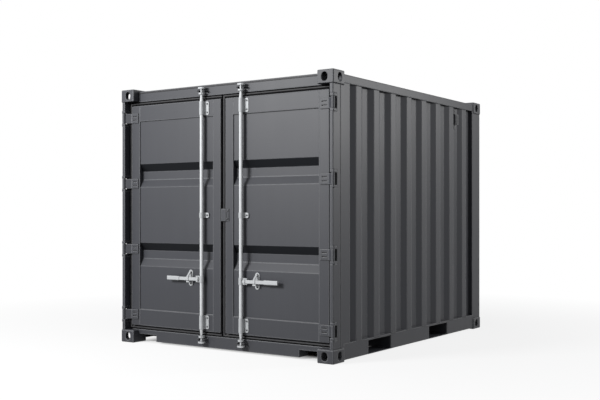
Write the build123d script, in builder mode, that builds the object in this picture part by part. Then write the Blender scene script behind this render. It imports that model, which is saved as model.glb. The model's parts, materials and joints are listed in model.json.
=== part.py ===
from build123d import *
from math import atan2, degrees
import os

# A ten-foot freight container, in millimetres.
# X runs across the doors, +Y runs from the door end to the blind end, +Z is up.
# The origin is on the ground under the middle of the box.

# Overall box, measured over the corner castings
WIDTH = 2438.0
LENGTH = 2991.0
HEIGHT = 2438.0

# Corner castings
CASTING_X = 162.0
CASTING_Y = 178.0
CASTING_Z = 118.0
CASTING_WALL = 28.0
CASTING_EDGE = 6.0
APERTURE_SIDE = 89.0
APERTURE_END = 101.5
APERTURE_WIDTH = 63.5
APERTURE_LONG = 124.0
APERTURE_TALL = 79.4
OVAL_SIDES = 12

# Sheet and plate, and how far a cut runs past the face that it opens
PLATE = 4.5
SHEET = 2.0
SHEET_BEND = 10.0
SHEET_CREASE = 4.0
SKIN_INSET = 8.0
ROUNDING = 8.0
CUT_MARGIN = 1.0

# Front corner posts: a narrow bar beside the door and a channel behind it
POST_INSET = 7.0
POST_FRONT = 4.0
POST_BAR_WIDTH = 34.0
POST_STEP = 122.0
POST_CHANNEL_WIDTH = 72.0
POST_BACK = 271.0
POST_PLATE = 6.0

# Rear corner posts
REAR_POST_DEEP = 200.0
REAR_POST_WIDE = 100.0
REAR_POST_LIP = 30.0
REAR_POST_SLANT = 47.0
REAR_FACE = 5.0

# Door header and sill, seen along X
HEADER_FACE = 75.0
HEADER_BACK = 190.0
HEADER_DROP = 18.0
HEADER_FACE_TALL = 100.0
HEADER_STOP_TALL = 33.0
SILL_BACK = 215.0
SILL_BOTTOM = 17.0
SILL_TOP = 125.0
NOTCH_WIDE = 231.0
NOTCH_TOP = 81.0

# Side rails and blind-end rails
RAIL_INSET = 8.0
TOP_RAIL_WIDE = 60.0
TOP_RAIL_DROP = 26.0
TOP_RAIL_TALL = 71.0
BOTTOM_RAIL_TOP = 153.0
BOTTOM_RAIL_BOTTOM = 12.5
BOTTOM_RAIL_FLANGE = 45.0
RAIL_FOLD = 6.0
END_RAIL_OUT = 12.0
END_RAIL_DEEP = 60.0

# Side wall corrugation
WAVE_LEAD = 40.5
WAVE_CREST = 87.0
WAVE_VALLEY = 86.3
WAVE_SLOPE = 68.0
WAVE_DEPTH = 36.0

# Blind-end wall corrugation and roof ribs
END_WAVE_PITCH = 250.0
END_WAVE_CREST = 104.0
END_WAVE_SLOPE = 18.0
END_WAVE_DEPTH = 42.0
ROOF_WAVE_PITCH = 209.0
ROOF_WAVE_CREST = 91.0
ROOF_WAVE_SLOPE = 13.5
ROOF_WAVE_DEPTH = 18.0
ROOF_LAP = 34.0
ROOF_RIB_MARGIN = 100.0

# Floor, cross members and fork pockets
FLOOR_THICK = 28.0
FLOOR_RAIL_GAP = 6.0
FLOOR_GAP = 2.0
MEMBER_FLANGE = 45.0
MEMBER_SPACING = 210.0
POCKET_SPREAD = 1179.0
POCKET_SHIFT = 118.0
POCKET_WIDTH = 410.0
POCKET_TOP = 135.0
POCKET_PLATE = 6.0
STRAP_WIDTH = 200.0

# Door leaves
LEAF_FACE = 65.0
LEAF_THICK = 50.0
LEAF_HINGE_GAP = 42.0
LEAF_LOCK_EDGE = 28.5
LEAF_TOP_GAP = 6.0
LEAF_BOTTOM_GAP = 39.0
HINGE_STILE = 102.0
LOCK_STILE = 88.5
LEAF_TOP_RAIL = 151.0
LEAF_BOTTOM_RAIL = 157.0
LEAF_WALL = 4.0
PANEL_SET_BACK = 8.0
TROUGH_RISE = 528.5
TROUGH_DROP = 522.5
TROUGH_FLOOR = 80.0
TROUGH_SLOPE = 72.0
TROUGH_DEPTH = 36.0

# Door seals
SEAL_FRONT = 74.0
SEAL_BACK = 110.0
SEAL_POST_GAP = 6.0
SEAL_HEADER_GAP = 6.0
SEAL_SILL_GAP = 6.0
SEAL_LEFT_LIP = 5.5
SEAL_MEETING_GAP = 11.0

# Door hinges
PIN_SIDE = 16.0
PIN_DEEP = 20.0
PIN_RADIUS = 9.0
PIN_CLEARANCE = 0.08
PIN_SIDES = 12
KNUCKLE_RADIUS = 16.0
KNUCKLE_GAP = 1.0
HINGE_RISE = 104.0
HINGE_DROP = 117.0
HINGE_COUNT = 4
HINGE_OPENING = 102.0
LUG_THICK = 24.0
LUG_DEEP = 67.0
LUG_CORNER = 6.0
BLADE_THICK = 8.0
BLADE_REACH = 86.0
BLADE_GAP = 5.0
SLOT_LONG = 52.0
SLOT_TALL = 8.0
SLOT_SPREAD = 34.0

# Lock bars
BAR_SIDE = 228.0
BAR_STAND_OFF = 30.0
BAR_RADIUS = 16.5
BAR_NECK = 10.0
BAR_NECK_SIDES = 6
BAR_TOP_DROP = 24.0
BAR_BOTTOM_RISE = 41.0
BAR_RUN_CLEARANCE = 0.3
CAM_HALF = 34.0
CAM_INNER_HALF = 26.0
CAM_CORNER = 12.0
CAM_DEEP = 46.0
CAM_THICK = 15.0
CAM_TALL = 66.0
KEEPER_RADIUS = 9.0
KEEPER_SIDES = 12
KEEPER_SPREAD = 34.0
KEEPER_REACH = 54.0
KEEPER_PLATE = 5.0
KEEPER_TALL = 26.0
KEEPER_CORNER = 6.0
KEEPER_BORE = 5.5
KEEPER_BORE_SIDES = 6
KEEPER_BORE_DEEP = 18.0

# Bar brackets: heights, and the middles of the end ones from the leaf's edges
BRACKET_END_TALL = 123.0
BRACKET_MID_TALL = 47.0
BRACKET_RISE = 85.5
BRACKET_DROP = 75.5
BRACKET_PLATE = 5.0
BRACKET_LEFT = 40.0
BRACKET_RIGHT = 63.0
BRACKET_CORNER = 9.0
BRACKET_BODY = 21.5

# Handles
HANDLE_Z = 643.0
HUB_REACH = 68.0
HUB_TALL = 58.0
HUB_COLLAR = 22.0
HUB_FRONT = 32.0
HUB_THICK = 18.0
PIVOT_OUT = 44.0
PIVOT_RADIUS = 7.0
PIVOT_HEAD = 14.0
PIVOT_HEAD_SIDES = 6
PIVOT_HEAD_THICK = 4.0
HANDLE_GAP = 2.0
HANDLE_THICK = 10.0
HANDLE_TALL = 30.0
HANDLE_EYE = 20.0
HANDLE_REACH = 408.0
GRIP_START = 262.0
GRIP_TALL = 40.0
GRIP_THICK = 18.0
GRIP_ROUNDING = 8.0
CATCH_OUT = 157.0
CATCH_LIFT = 6.0
CATCH_TALL = 150.0
CATCH_WIDE = 48.0
CATCH_PLATE = 6.0
REST_WIDE = 34.0
REST_THICK = 14.0
REST_GAP = 5.0
HASP_WIDE = 20.0
HASP_THICK = 5.0
HASP_RISE = 62.0

# Plate over the meeting edges of the leaves
COVER_LEFT = -13.0
COVER_RIGHT = 70.0
COVER_LIFT = 8.0
COVER_TALL = 111.0
COVER_PLATE = 6.0
COVER_JOG = 6.0

# Side vents
VENT_DROP = 119.0
VENT_WIDE = 76.0
VENT_TALL = 104.0
VENT_DEEP = 26.0
VENT_EAR = 200.0
VENT_EAR_THICK = 4.0

HALF_W = WIDTH / 2
FRONT = -LENGTH / 2
REAR = LENGTH / 2
POST_OUT = HALF_W - POST_INSET
RAIL_OUT = HALF_W - RAIL_INSET
SKIN_OUT = HALF_W - SKIN_INSET
CASTING_INNER = HALF_W - CASTING_X
CASTING_TOP_Z = HEIGHT - CASTING_Z
HEADER_TOP = HEIGHT - HEADER_DROP
HEADER_BOTTOM = HEADER_TOP - HEADER_FACE_TALL
HEADER_STOP = HEADER_BOTTOM - HEADER_STOP_TALL
TOP_RAIL_TOP = HEIGHT - TOP_RAIL_DROP
TOP_RAIL_BOTTOM = TOP_RAIL_TOP - TOP_RAIL_TALL
FLOOR_BOTTOM = POCKET_TOP + POCKET_PLATE
FLOOR_TOP = FLOOR_BOTTOM + FLOOR_THICK
FLOOR_HALF = RAIL_OUT - BOTTOM_RAIL_FLANGE - FLOOR_RAIL_GAP
MEMBER_BOTTOM = BOTTOM_RAIL_BOTTOM + PLATE
POCKET_MIDDLE = LENGTH / 2 - POCKET_SHIFT
POCKET_CENTRES = (POCKET_MIDDLE - POCKET_SPREAD / 2, POCKET_MIDDLE + POCKET_SPREAD / 2)
WAVE_PITCH = WAVE_CREST + WAVE_VALLEY + 2 * WAVE_SLOPE
LEAF_HINGE_EDGE = POST_OUT - POST_BAR_WIDTH - LEAF_HINGE_GAP
LEAF_TOP = HEADER_STOP - LEAF_TOP_GAP
LEAF_BOTTOM = SILL_TOP + LEAF_BOTTOM_GAP
LEAF_MIDDLE = (LEAF_BOTTOM + LEAF_TOP) / 2
SEAL_RIGHT_LIP = 2 * LEAF_LOCK_EDGE - SEAL_LEFT_LIP - SEAL_MEETING_GAP
BAR_DEEP = LEAF_FACE - BAR_STAND_OFF
BAR_TOP = HEADER_TOP - BAR_TOP_DROP
BAR_BOTTOM = SILL_BOTTOM + BAR_BOTTOM_RISE
BRACKET_LOW = LEAF_BOTTOM + BRACKET_RISE
BRACKET_HIGH = LEAF_TOP - BRACKET_DROP
BRACKET_MID = (BRACKET_LOW + BRACKET_HIGH) / 2
PIN_OUT = HALF_W - PIN_SIDE
HINGE_FIRST = LEAF_BOTTOM + HINGE_RISE
HINGE_PITCH = (LEAF_TOP - HINGE_DROP - HINGE_FIRST) / (HINGE_COUNT - 1)
HINGES = [HINGE_FIRST + HINGE_PITCH * k for k in range(HINGE_COUNT)]
LUG_SPAN = HINGE_OPENING / 2 + LUG_THICK
HANDLE_FRONT = HUB_FRONT - HANDLE_GAP - HANDLE_THICK
ROOF_TAPER = degrees(atan2(ROOF_WAVE_SLOPE, ROOF_WAVE_DEPTH))
PANEL_FACE = LEAF_FACE + PANEL_SET_BACK


def deep(distance):
    """Y of a point that lies this far behind the door-end plane."""
    return FRONT + distance


def write(part, name):
    part.label = name
    export_step(part, f"parts/{name}.step")


def wave(start, end, first, count, pitch, crest, slope, depth):
    """Points of a trapezoid wave, along the wall and then up from the valleys; first is a crest's middle."""
    points = [(start, 0.0)]
    for k in range(count):
        centre = first + k * pitch
        half = crest / 2
        points += [(centre - half - slope, 0.0), (centre - half, depth)]
        points += [(centre + half, depth), (centre + half + slope, 0.0)]
    return points + [(end, 0.0)]


def side_crests():
    """How many crests fit along a side wall, and the Y of the first one's middle."""
    room = LENGTH - POST_BACK - REAR_POST_DEEP - WAVE_LEAD
    first = deep(POST_BACK) + WAVE_LEAD + WAVE_SLOPE + WAVE_CREST / 2
    return int((room + WAVE_VALLEY) / WAVE_PITCH), first


def pressed_line(points):
    """A sheet's flat section: straight runs along its middle, with rounded bends."""
    with BuildSketch() as section:
        with BuildLine():
            FilletPolyline(*points, radius=SHEET_BEND)
        trace(line_width=SHEET)
    return section.sketch


def creased_line(points):
    """The same section with each bend cut flat, for the long walls that have many bends."""
    with BuildSketch() as section:
        with BuildLine() as run:
            Polyline(*points)
            chamfer(run.vertices(), SHEET_CREASE)
        trace(line_width=SHEET)
    return section.sketch


def oval(tall, wide):
    """An upright oval, inside the current sketch; its round ends have few sides, as ovals repeat."""
    Rectangle(wide, tall - wide)
    with Locations((0, (tall - wide) / 2), (0, (wide - tall) / 2)):
        RegularPolygon(wide / 2, OVAL_SIDES)


def slab(part_box, mode=Mode.ADD):
    """A box from its low and high corners, inside the current part."""
    (x0, y0, z0), (x1, y1, z1) = part_box
    with Locations(((x0 + x1) / 2, (y0 + y1) / 2, (z0 + z1) / 2)):
        Box(abs(x1 - x0), abs(y1 - y0), abs(z1 - z0), mode=mode)


def corner_castings(base, opening_up, name):
    """Four hollow castings with an aperture in the end, the side and the top or the bottom."""
    with BuildPart() as castings:
        for sx in (-1, 1):
            for sy in (-1, 1):
                x = sx * (HALF_W - CASTING_X / 2)
                y = sy * (REAR - CASTING_Y / 2)
                z = base + CASTING_Z / 2
                hole_x = sx * (HALF_W - APERTURE_SIDE)
                hole_y = sy * (REAR - APERTURE_END)
                with Locations((x, y, z)):
                    Box(CASTING_X, CASTING_Y, CASTING_Z)
                chamfer(castings.edges(Select.LAST), CASTING_EDGE)
                with Locations((x, y, z)):
                    Box(
                        CASTING_X - 2 * CASTING_WALL,
                        CASTING_Y - 2 * CASTING_WALL,
                        CASTING_Z - 2 * CASTING_WALL,
                        mode=Mode.SUBTRACT,
                    )
                with BuildSketch(Plane.XY.offset(z)):
                    with Locations((hole_x, hole_y)):
                        SlotOverall(APERTURE_LONG, APERTURE_WIDTH, rotation=90)
                extrude(amount=CASTING_Z if opening_up else -CASTING_Z, mode=Mode.SUBTRACT)
                with BuildSketch(Plane.XZ.offset(-y)):
                    with Locations((hole_x, z)):
                        oval(APERTURE_TALL, APERTURE_WIDTH)
                extrude(amount=-sy * CASTING_Y, mode=Mode.SUBTRACT)
                with BuildSketch(Plane.YZ.offset(x)):
                    with Locations((hole_y, z)):
                        oval(APERTURE_TALL, APERTURE_WIDTH)
                extrude(amount=sx * CASTING_X, mode=Mode.SUBTRACT)
    write(castings.part, name)


def front_post(side, name):
    """The bar that carries the hinges and the closed channel behind it."""
    bar_x = side * (POST_OUT - POST_BAR_WIDTH / 2)
    bar_y = deep((POST_FRONT + POST_STEP) / 2)
    with BuildPart() as post:
        with BuildSketch(Plane.XY.offset(CASTING_Z)):
            with Locations((bar_x, bar_y)):
                RectangleRounded(POST_BAR_WIDTH, POST_STEP - POST_FRONT, ROUNDING)
                Rectangle(
                    POST_BAR_WIDTH - 2 * POST_PLATE,
                    POST_STEP - POST_FRONT - 2 * POST_PLATE,
                    mode=Mode.SUBTRACT,
                )
        extrude(amount=CASTING_TOP_Z - CASTING_Z)
        for z in HINGES:
            slab(
                (
                    (side * (POST_OUT - POST_BAR_WIDTH - CUT_MARGIN), FRONT, z - LUG_SPAN),
                    (side * HALF_W, deep(LUG_DEEP), z + LUG_SPAN),
                ),
                Mode.SUBTRACT,
            )
        with BuildSketch(Plane.XY.offset(CASTING_Z)):
            with Locations(
                (side * (POST_OUT - POST_CHANNEL_WIDTH / 2), deep((POST_STEP + POST_BACK) / 2))
            ):
                Rectangle(POST_CHANNEL_WIDTH, POST_BACK - POST_STEP)
                Rectangle(
                    POST_CHANNEL_WIDTH - 2 * PLATE,
                    POST_BACK - POST_STEP - 2 * PLATE,
                    mode=Mode.SUBTRACT,
                )
        extrude(amount=TOP_RAIL_BOTTOM - CASTING_Z)
        slab(
            ((0, FRONT, CASTING_TOP_Z), (side * HALF_W, deep(CASTING_Y), HEIGHT)),
            Mode.SUBTRACT,
        )
        slab(
            ((0, deep(CASTING_Y), 0), (side * HALF_W, deep(POST_BACK) + CUT_MARGIN, BOTTOM_RAIL_TOP)),
            Mode.SUBTRACT,
        )
    write(post.part, name)


def rear_post(side, name):
    """A pressed section with a slanted inner face."""
    outer = POST_OUT
    inner = POST_OUT - REAR_POST_WIDE
    back = REAR - REAR_FACE
    front = REAR - REAR_POST_DEEP
    with BuildPart() as post:
        with BuildSketch(Plane.XY.offset(CASTING_Z)):
            Polygon(
                (side * outer, front),
                (side * outer, back),
                (side * inner, back),
                (side * inner, back - REAR_POST_LIP),
                (side * (outer - REAR_POST_SLANT), front),
                align=None,
            )
            offset(amount=-POST_PLATE, kind=Kind.INTERSECTION, mode=Mode.SUBTRACT)
        extrude(amount=TOP_RAIL_BOTTOM - CASTING_Z)
        slab(
            ((0, REAR - CASTING_Y, CASTING_TOP_Z), (side * HALF_W, REAR, HEIGHT)),
            Mode.SUBTRACT,
        )
        slab(
            ((0, front - CUT_MARGIN, 0), (side * HALF_W, REAR - CASTING_Y, BOTTOM_RAIL_TOP)),
            Mode.SUBTRACT,
        )
    write(post.part, name)


def door_header():
    """A folded box over the doors with a door stop behind and under its face."""
    half_low = POST_OUT - POST_CHANNEL_WIDTH
    with BuildPart() as header:
        with BuildSketch(Plane.YZ):
            Polygon(
                (deep(HEADER_FACE), HEADER_BOTTOM),
                (deep(HEADER_FACE), HEADER_TOP),
                (deep(HEADER_BACK), HEADER_TOP),
                (deep(HEADER_BACK), HEADER_STOP),
                (deep(POST_STEP), HEADER_STOP),
                (deep(POST_STEP), HEADER_BOTTOM),
                align=None,
            )
            offset(amount=-PLATE, kind=Kind.INTERSECTION, mode=Mode.SUBTRACT)
        extrude(amount=half_low, both=True)
        for side in (-1, 1):
            slab(
                (
                    (side * CASTING_INNER, FRONT, CASTING_TOP_Z),
                    (side * HALF_W, deep(CASTING_Y), HEIGHT),
                ),
                Mode.SUBTRACT,
            )
    write(header.part, "door_header")


def door_sill():
    """A folded sill with a raised stop behind the doors and a closed cut-away at each end."""
    half_top = POST_OUT - POST_CHANNEL_WIDTH
    notch = CASTING_INNER - NOTCH_WIDE
    with BuildPart() as sill:
        with BuildSketch(Plane.YZ):
            Polygon(
                (deep(HEADER_FACE), SILL_BOTTOM),
                (deep(HEADER_FACE), SILL_TOP),
                (deep(POST_STEP), SILL_TOP),
                (deep(POST_STEP), FLOOR_TOP),
                (deep(SILL_BACK), FLOOR_TOP),
                (deep(SILL_BACK), SILL_BOTTOM),
                align=None,
            )
            offset(amount=-PLATE, kind=Kind.INTERSECTION, mode=Mode.SUBTRACT)
        extrude(amount=half_top, both=True)
        for side in (-1, 1):
            slab(
                (
                    (side * CASTING_INNER, FRONT, 0),
                    (side * HALF_W, deep(CASTING_Y), CASTING_Z),
                ),
                Mode.SUBTRACT,
            )
            slab(
                (
                    (side * notch, FRONT, 0),
                    (side * HALF_W, deep(SILL_BACK) + CUT_MARGIN, NOTCH_TOP),
                ),
                Mode.SUBTRACT,
            )
            slab(
                (
                    (side * (notch - PLATE), deep(HEADER_FACE), SILL_BOTTOM),
                    (side * notch, deep(SILL_BACK), NOTCH_TOP + PLATE),
                )
            )
            slab(
                (
                    (side * notch, deep(HEADER_FACE), NOTCH_TOP),
                    (side * CASTING_INNER, deep(SILL_BACK), NOTCH_TOP + PLATE),
                )
            )
    write(sill.part, "door_sill")


def box_rail(low, high, along, name):
    """A closed rectangular tube between two corners, open at its ends along X or Y."""
    x0, y0, z0 = low
    x1, y1, z1 = high
    with BuildPart() as rail:
        slab((low, high))
        if along == "X":
            inner = ((x0, y0 + PLATE, z0 + PLATE), (x1, y1 - PLATE, z1 - PLATE))
        else:
            inner = ((x0 + PLATE, y0, z0 + PLATE), (x1 - PLATE, y1, z1 - PLATE))
        slab(inner, Mode.SUBTRACT)
    write(rail.part, name)


def bottom_rail(side, name):
    """A channel that opens inwards, with a folded lower edge, cut away at the fork pockets."""
    inner = RAIL_OUT - BOTTOM_RAIL_FLANGE
    start = deep(CASTING_Y)
    end = REAR - CASTING_Y
    with BuildPart() as rail:
        slab(((side * inner, start, BOTTOM_RAIL_BOTTOM), (side * RAIL_OUT, end, BOTTOM_RAIL_TOP)))
        slab(
            (
                (side * inner, start, BOTTOM_RAIL_BOTTOM + PLATE),
                (side * (RAIL_OUT - PLATE), end, BOTTOM_RAIL_TOP - PLATE),
            ),
            Mode.SUBTRACT,
        )
        low_edges = rail.edges().filter_by(Axis.Y).group_by(Axis.Z)[0].sort_by(Axis.X)
        chamfer(low_edges[-1 if side > 0 else 0], RAIL_FOLD)
        for centre in POCKET_CENTRES:
            slab(
                (
                    (side * (inner - CUT_MARGIN), deep(centre - POCKET_WIDTH / 2), 0),
                    (side * HALF_W, deep(centre + POCKET_WIDTH / 2), POCKET_TOP),
                ),
                Mode.SUBTRACT,
            )
    write(rail.part, name)


def side_panel(side, name):
    """One trapezoid-corrugated sheet between the posts and the rails."""
    count, first = side_crests()
    points = wave(
        deep(POST_BACK),
        REAR - REAR_POST_DEEP,
        first,
        count,
        WAVE_PITCH,
        WAVE_CREST,
        WAVE_SLOPE,
        WAVE_DEPTH,
    )
    valley = SKIN_OUT - WAVE_DEPTH - SHEET / 2
    with BuildPart() as panel:
        with BuildSketch(Plane.XY.offset(BOTTOM_RAIL_TOP)):
            add(creased_line([(side * (valley + rise), y) for y, rise in points]))
        extrude(amount=TOP_RAIL_BOTTOM - BOTTOM_RAIL_TOP)
    write(panel.part, name)


def end_panel():
    """The corrugated blind-end wall."""
    half = POST_OUT - REAR_POST_WIDE
    count = int(2 * half / END_WAVE_PITCH)
    first = -(count - 1) / 2 * END_WAVE_PITCH
    points = wave(
        -half, half, first, count, END_WAVE_PITCH, END_WAVE_CREST, END_WAVE_SLOPE, END_WAVE_DEPTH
    )
    valley = REAR - END_RAIL_OUT - END_WAVE_DEPTH - SHEET / 2
    with BuildPart() as panel:
        with BuildSketch(Plane.XY.offset(CASTING_Z)):
            add(creased_line([(x, valley + rise) for x, rise in points]))
        extrude(amount=CASTING_TOP_Z - CASTING_Z)
    write(panel.part, "rear_end_panel")


def roof_panel():
    """The roof sheet on the top rails, with pressed ribs that stop short of its edges."""
    half = RAIL_OUT - TOP_RAIL_WIDE + ROOF_LAP
    start = deep(HEADER_BACK)
    end = REAR - END_RAIL_OUT - END_RAIL_DEEP
    middle = (start + end) / 2
    rib_wide = ROOF_WAVE_CREST + 2 * ROOF_WAVE_SLOPE
    room = end - start - 2 * ROOF_RIB_MARGIN
    count = int((room - rib_wide) / ROOF_WAVE_PITCH) + 1
    rib = Rectangle(2 * (half - ROOF_RIB_MARGIN), rib_wide, mode=Mode.PRIVATE)
    with BuildPart() as roof:
        slab(((-half, start, TOP_RAIL_TOP), (half, end, TOP_RAIL_TOP + SHEET)))
        for base, mode in ((TOP_RAIL_TOP + SHEET, Mode.ADD), (TOP_RAIL_TOP, Mode.SUBTRACT)):
            with BuildSketch(Plane((0, middle, base))):
                with GridLocations(0, ROOF_WAVE_PITCH, 1, count):
                    add(rib)
            extrude(amount=ROOF_WAVE_DEPTH, taper=ROOF_TAPER, mode=mode)
        for side in (-1, 1):
            slab(
                (
                    (side * CASTING_INNER, REAR - CASTING_Y, CASTING_TOP_Z),
                    (side * HALF_W, REAR, HEIGHT),
                ),
                Mode.SUBTRACT,
            )
    write(roof.part, "roof_panel")


def floor_boards():
    """The plywood floor, notched round the corner posts."""
    post_inner = POST_OUT - POST_CHANNEL_WIDTH - FLOOR_GAP
    rear_inner = POST_OUT - REAR_POST_WIDE - FLOOR_GAP
    start = deep(SILL_BACK)
    end = REAR - END_RAIL_OUT - END_WAVE_DEPTH - SHEET - FLOOR_GAP
    with BuildPart() as floor:
        slab(((-FLOOR_HALF, start, FLOOR_BOTTOM), (FLOOR_HALF, end, FLOOR_TOP)))
        for side in (-1, 1):
            slab(
                (
                    (side * post_inner, start, FLOOR_BOTTOM),
                    (side * FLOOR_HALF, deep(POST_BACK) + FLOOR_GAP, FLOOR_TOP),
                ),
                Mode.SUBTRACT,
            )
            slab(
                (
                    (side * rear_inner, REAR - REAR_POST_DEEP - FLOOR_GAP, FLOOR_BOTTOM),
                    (side * FLOOR_HALF, end, FLOOR_TOP),
                ),
                Mode.SUBTRACT,
            )
    write(floor.part, "floor_boards")


def member_places():
    """Y of each cross member's web: even spaces in the bays before, between and behind the pockets."""
    reach = POCKET_WIDTH / 2 + POCKET_PLATE
    edges = [deep(SILL_BACK)]
    for centre in POCKET_CENTRES:
        edges += [deep(centre - reach), deep(centre + reach)]
    edges.append(REAR - CASTING_Y)
    places = []
    for start, end in zip(edges[::2], edges[1::2]):
        count = int((end - start) / MEMBER_SPACING)
        step = (end - start) / (count + 1)
        places += [start + step * (k + 1) - MEMBER_FLANGE / 2 for k in range(count)]
    return places


def cross_members():
    """Pressed channels under the floor, from rail to rail."""
    half = RAIL_OUT - PLATE
    with BuildPart() as members:
        for y in member_places():
            slab(((-half, y, MEMBER_BOTTOM), (half, y + MEMBER_FLANGE, FLOOR_BOTTOM)))
            slab(
                (
                    (-half, y + PLATE, MEMBER_BOTTOM + PLATE),
                    (half, y + MEMBER_FLANGE, FLOOR_BOTTOM - PLATE),
                ),
                Mode.SUBTRACT,
            )
    write(members.part, "cross_members")


def fork_pockets():
    """Two tunnels for lifting forks: side plates, a top plate and a strap under each mouth."""
    half = RAIL_OUT - PLATE
    plates = []
    for centre in POCKET_CENTRES:
        near = deep(centre - POCKET_WIDTH / 2)
        far = deep(centre + POCKET_WIDTH / 2)
        boxes = [
            ((-half, near - POCKET_PLATE, MEMBER_BOTTOM), (half, near, FLOOR_BOTTOM)),
            ((-half, far, MEMBER_BOTTOM), (half, far + POCKET_PLATE, FLOOR_BOTTOM)),
            ((-half, near, POCKET_TOP), (half, far, FLOOR_BOTTOM)),
        ]
        for side in (-1, 1):
            strap = side * (half - STRAP_WIDTH)
            boxes.append(((strap, near, BOTTOM_RAIL_BOTTOM), (side * half, far, MEMBER_BOTTOM)))
        for box in boxes:
            with BuildPart() as plate:
                slab(box)
            plates.append(plate.part.solid())
    write(Compound(children=plates), "fork_pockets")


def hinge_lugs(side, name):
    """For each hinge, an upper and a lower lug on the post with the pin between them."""
    inner = POST_OUT - POST_BAR_WIDTH
    nose = PIN_DEEP + KNUCKLE_RADIUS
    with BuildPart() as lugs:
        for z in HINGES:
            for start in (z - LUG_SPAN, z + HINGE_OPENING / 2):
                with BuildSketch(Plane.XY.offset(start)) as outline:
                    Polygon(
                        (side * inner, deep(LUG_DEEP)),
                        (side * inner, deep(POST_FRONT)),
                        (side * HALF_W, deep(POST_FRONT)),
                        (side * HALF_W, deep(nose)),
                        (side * POST_OUT, deep(nose)),
                        (side * POST_OUT, deep(LUG_DEEP)),
                        align=None,
                    )
                    chamfer(outline.vertices().group_by(Axis.Y)[0], LUG_CORNER)
                extrude(amount=LUG_THICK)
            with BuildSketch(Plane.XY.offset(z - LUG_SPAN)):
                with Locations((side * PIN_OUT, deep(PIN_DEEP))):
                    RegularPolygon(PIN_RADIUS, PIN_SIDES)
            extrude(amount=2 * LUG_SPAN)
    write(lugs.part, name)


def hinge_blades(side, name):
    """Knuckles bored for the pins, each with a bent, slotted strap that lies on the leaf."""
    pin = (side * PIN_OUT, deep(PIN_DEEP))
    face = deep(LEAF_FACE - BLADE_THICK / 2)
    bend = (side * LEAF_HINGE_EDGE, face)
    tip = (side * (LEAF_HINGE_EDGE - BLADE_REACH), face)
    slot = side * (LEAF_HINGE_EDGE - BLADE_REACH / 2)
    tall = HINGE_OPENING - 2 * BLADE_GAP
    knuckle = HINGE_OPENING - 2 * KNUCKLE_GAP
    with BuildPart() as blades:
        for z in HINGES:
            with BuildSketch(Plane.XY.offset(z - tall / 2)):
                with BuildLine():
                    Polyline(pin, bend, tip)
                trace(line_width=BLADE_THICK)
                with Locations(bend):
                    Circle(BLADE_THICK / 2)
            extrude(amount=tall)
            with BuildSketch(Plane.XY.offset(z - knuckle / 2)):
                with Locations(pin):
                    Circle(KNUCKLE_RADIUS)
            extrude(amount=knuckle)
            with BuildSketch(Plane.XY.offset(z - knuckle / 2)):
                with Locations(pin):
                    RegularPolygon(PIN_RADIUS + PIN_CLEARANCE, PIN_SIDES, major_radius=False)
            extrude(amount=knuckle, mode=Mode.SUBTRACT)
            with BuildSketch(Plane.XZ.offset(-deep(LEAF_FACE))):
                with Locations((slot, z - SLOT_SPREAD / 2), (slot, z + SLOT_SPREAD / 2)):
                    Rectangle(SLOT_LONG, SLOT_TALL)
            extrude(amount=BLADE_THICK, mode=Mode.SUBTRACT)
    write(blades.part, name)


def leaf_frame(side, name):
    """Two tube stiles and two tube rails."""
    front = deep(LEAF_FACE)
    back = deep(LEAF_FACE + LEAF_THICK)
    hinge_line = LEAF_HINGE_EDGE - HINGE_STILE
    lock_line = LEAF_LOCK_EDGE + LOCK_STILE
    with BuildPart() as frame:
        for start, end in ((LEAF_LOCK_EDGE, lock_line), (hinge_line, LEAF_HINGE_EDGE)):
            slab(((side * start, front, LEAF_BOTTOM), (side * end, back, LEAF_TOP)))
            slab(
                (
                    (side * (start + LEAF_WALL), front + LEAF_WALL, LEAF_BOTTOM),
                    (side * (end - LEAF_WALL), back - LEAF_WALL, LEAF_TOP),
                ),
                Mode.SUBTRACT,
            )
    with BuildPart() as rails:
        for start, end in (
            (LEAF_BOTTOM, LEAF_BOTTOM + LEAF_BOTTOM_RAIL),
            (LEAF_TOP - LEAF_TOP_RAIL, LEAF_TOP),
        ):
            slab(((side * lock_line, front, start), (side * hinge_line, back, end)))
            slab(
                (
                    (side * lock_line, front + LEAF_WALL, start + LEAF_WALL),
                    (side * hinge_line, back, end - LEAF_WALL),
                ),
                Mode.SUBTRACT,
            )
    both = Compound(children=[*frame.part.solids(), *rails.part.solids()])
    write(both, name)


def leaf_panel(side, name):
    """A sheet with two pressed troughs across it."""
    face = deep(PANEL_FACE) + SHEET / 2
    bottom = LEAF_BOTTOM + LEAF_BOTTOM_RAIL
    top = LEAF_TOP - LEAF_TOP_RAIL
    points = [(bottom, 0.0)]
    for centre in (bottom + TROUGH_RISE, top - TROUGH_DROP):
        half = TROUGH_FLOOR / 2
        points += [(centre - half - TROUGH_SLOPE, 0.0), (centre - half, TROUGH_DEPTH)]
        points += [(centre + half, TROUGH_DEPTH), (centre + half + TROUGH_SLOPE, 0.0)]
    points.append((top, 0.0))
    with BuildPart() as panel:
        with BuildSketch(Plane.YZ.offset(side * (LEAF_LOCK_EDGE + LOCK_STILE))):
            add(pressed_line([(face + drop, z) for z, drop in points]))
        extrude(amount=side * (LEAF_HINGE_EDGE - HINGE_STILE - LEAF_LOCK_EDGE - LOCK_STILE))
    write(panel.part, name)


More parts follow.
